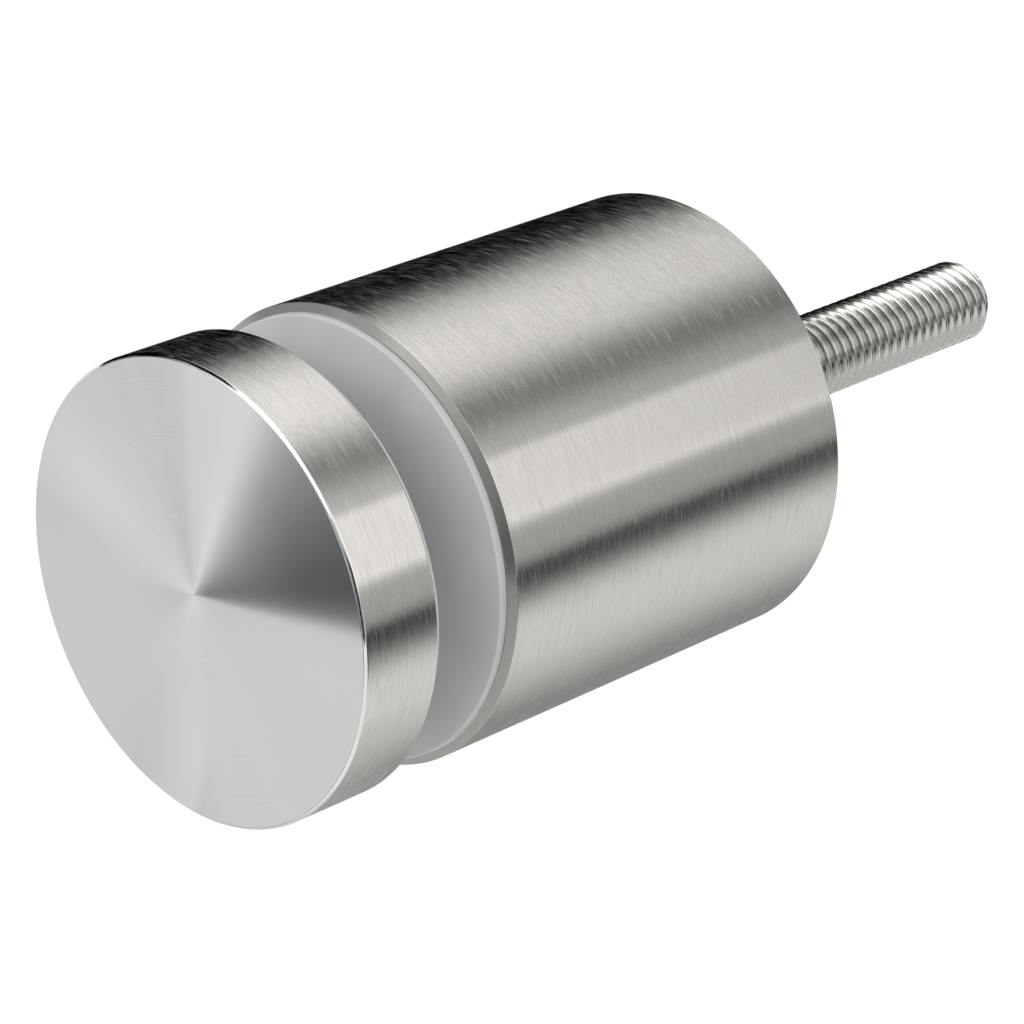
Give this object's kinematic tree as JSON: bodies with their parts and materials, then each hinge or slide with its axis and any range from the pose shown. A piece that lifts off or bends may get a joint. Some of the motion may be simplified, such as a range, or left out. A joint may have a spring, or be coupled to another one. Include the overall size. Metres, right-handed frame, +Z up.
{
  "type": "glass point fixing",
  "caption": "Round stainless steel point fixing that clamps a drilled sheet of glass between a screwed head and a wall spacer, with a threaded stud behind.",
  "frame": {"origin": "centre of the spacer's rear face, on the wall plane", "axes": "+Y along the wall stud, into the wall; -Y out through the spacer, the glass and the head; +Z up"},
  "size_m": [0.05, 0.1225, 0.05],
  "materials": {
    "brushed_steel": "stainless steel, fine brushed round the sides and turned on the faces",
    "thread_steel": "bright rolled stainless steel thread",
    "gasket_plastic": "frosted translucent soft plastic",
    "sleeve_plastic": "plain off-white plastic"
  },
  "bodies": {
    "spacer": {"spacer_body": "brushed_steel", "wall_stud": "thread_steel", "spacer_gasket": "gasket_plastic", "glass_sleeve": "sleeve_plastic"},
    "front_gasket": {"head_gasket": "gasket_plastic"},
    "head": {"head_cap": "brushed_steel", "clamp_stud": "thread_steel"}
  },
  "joints": [
    {"name": "clamp_travel", "type": "slide", "parent": "spacer", "child": "front_gasket", "axis": [0, -1, 0], "range_m": [-0.00051, 0.00651]},
    {"name": "head_turn", "type": "hinge", "parent": "front_gasket", "child": "head", "pos_m": [0, -0.0605, 0], "axis": [0, -1, 0], "range_deg": [-120, 1560]}
  ],
  "couplings": [
    {"joint": "clamp_travel", "follows": "head_turn", "m_per_rad": 0.00023873}
  ]
}
